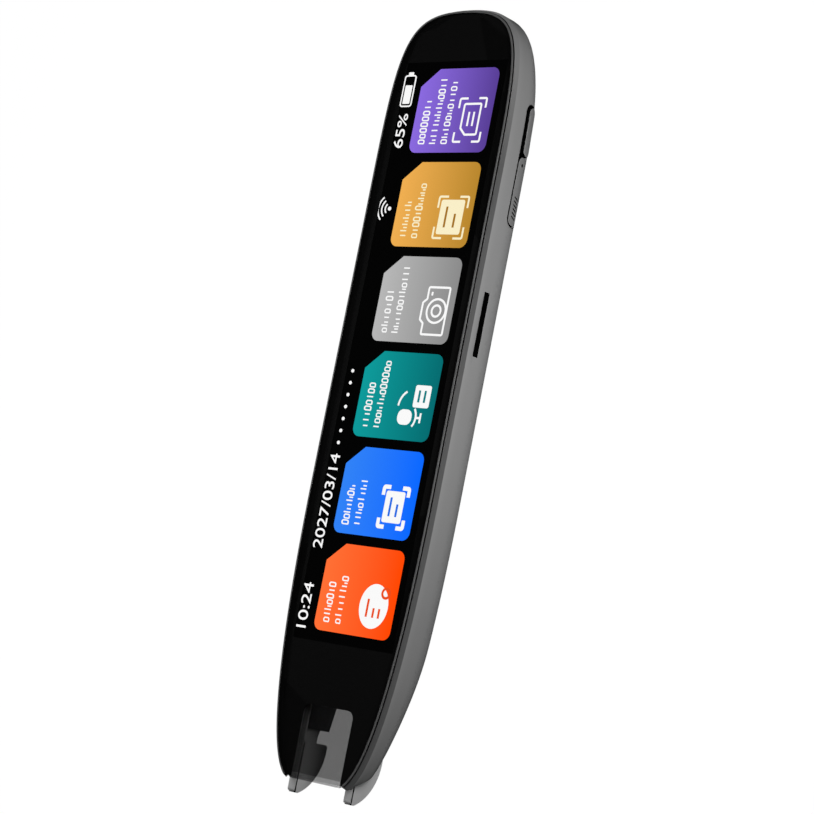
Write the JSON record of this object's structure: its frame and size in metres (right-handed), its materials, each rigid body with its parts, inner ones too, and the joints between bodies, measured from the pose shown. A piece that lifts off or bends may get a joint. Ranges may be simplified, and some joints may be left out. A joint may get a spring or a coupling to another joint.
{
  "type": "handheld translator",
  "caption": "Slim scanning translator pen with a full-length glass front, a side button, and a sprung two-finned scanning guide at its open nose.",
  "frame": {"origin": "middle of the overall length and width, on the plane of the flat back", "axes": "+Z from the back to the cover glass, +Y from the scanning nose to the crown, +X to the side with the power button and the card slot"},
  "size_m": [0.0319, 0.1528, 0.0119],
  "materials": {
    "shell_plastic": "fine satin grain, dark grey",
    "bezel_plastic": "satin, dark grey",
    "cover_glass": "polished",
    "black_print": "black print under glass",
    "smoked_film": "smoked, see-through",
    "display_panel": "display, lit",
    "backlight_white": "white diffuser",
    "flex_amber": "polyimide film",
    "ivory_plastic": "moulded",
    "chassis_metal": "bead blasted",
    "screw_steel": "plated",
    "board_green": "solder mask",
    "chip_black": "moulded",
    "shield_metal": "tinned",
    "coil_grey": "ferrite",
    "battery_foil": "foil pouch",
    "adhesive_pad": "adhesive foam",
    "wire_red": "insulated wire",
    "wire_black": "insulated wire",
    "speaker_black": "moulded",
    "speaker_grey": "membrane",
    "mesh_black": "acoustic mesh",
    "mic_brass": "plated can",
    "panel_plastic": "satin, dark grey",
    "button_plastic": "satin, dark grey",
    "pad_rubber": "silicone",
    "switch_plastic": "moulded",
    "chamber_plastic": "matt dark grey",
    "clear_window": "clear",
    "camera_black": "moulded",
    "lens_glass": "coated",
    "light_board_white": "white solder mask",
    "led_yellow": "phosphor",
    "yoke_plastic": "moulded",
    "fin_plastic": "fine grain, mid grey",
    "spring_steel": "wire"
  },
  "bodies": {
    "housing": {"back_shell": "shell_plastic", "front_bezel": "bezel_plastic", "cover_glass": "cover_glass", "border_film": "black_print", "window_tint": "smoked_film", "lcd_panel": "display_panel", "backlight": "backlight_white", "display_flex": "flex_amber", "display_connector": "ivory_plastic", "chassis": "chassis_metal", "chassis_screws": "screw_steel", "main_board": "board_green", "board_screws": "screw_steel", "processor": "chip_black", "memory_chip": "chip_black", "storage_chip": "chip_black", "power_controller": "chip_black", "wireless_shield": "shield_metal", "board_coils": "coil_grey", "antenna": "flex_amber", "card_socket": "shield_metal", "usb_receptacle": "shield_metal", "usb_tongue": "chip_black", "battery_cell": "battery_foil", "battery_pad": "adhesive_pad", "battery_wire_red": "wire_red", "battery_wire_black": "wire_black", "battery_plug": "ivory_plastic", "loudspeaker": "speaker_black", "speaker_cone": "speaker_grey", "speaker_mesh": "mesh_black", "microphone": "mic_brass", "side_panel": "panel_plastic", "button_return_pad": "pad_rubber", "button_switch": "switch_plastic", "scan_chamber": "chamber_plastic", "lens_cover": "clear_window", "camera_module": "camera_black", "camera_lens": "lens_glass", "camera_flex": "flex_amber", "light_board": "light_board_white", "scan_leds": "led_yellow", "tip_switch": "switch_plastic", "guide_spring_left": "spring_steel", "guide_spring_right": "spring_steel"},
    "power_button": {"power_button": "button_plastic"},
    "scan_guide": {"guide_yoke": "yoke_plastic", "guide_fin_left": "fin_plastic", "guide_fin_right": "fin_plastic"}
  },
  "joints": [
    {"name": "power_button_press", "type": "slide", "parent": "housing", "child": "power_button", "axis": [-1, 0, 0], "range_m": [0, 0.00035], "stiffness_N_per_m": 900, "springref_m": -0.0005, "deforming": ["button_return_pad"]},
    {"name": "scan_guide_press", "type": "slide", "parent": "housing", "child": "scan_guide", "axis": [0, 1, 0], "range_m": [0, 0.0012], "stiffness_N_per_m": 400, "springref_m": -0.001, "deforming": ["guide_spring_left", "guide_spring_right"]}
  ]
}
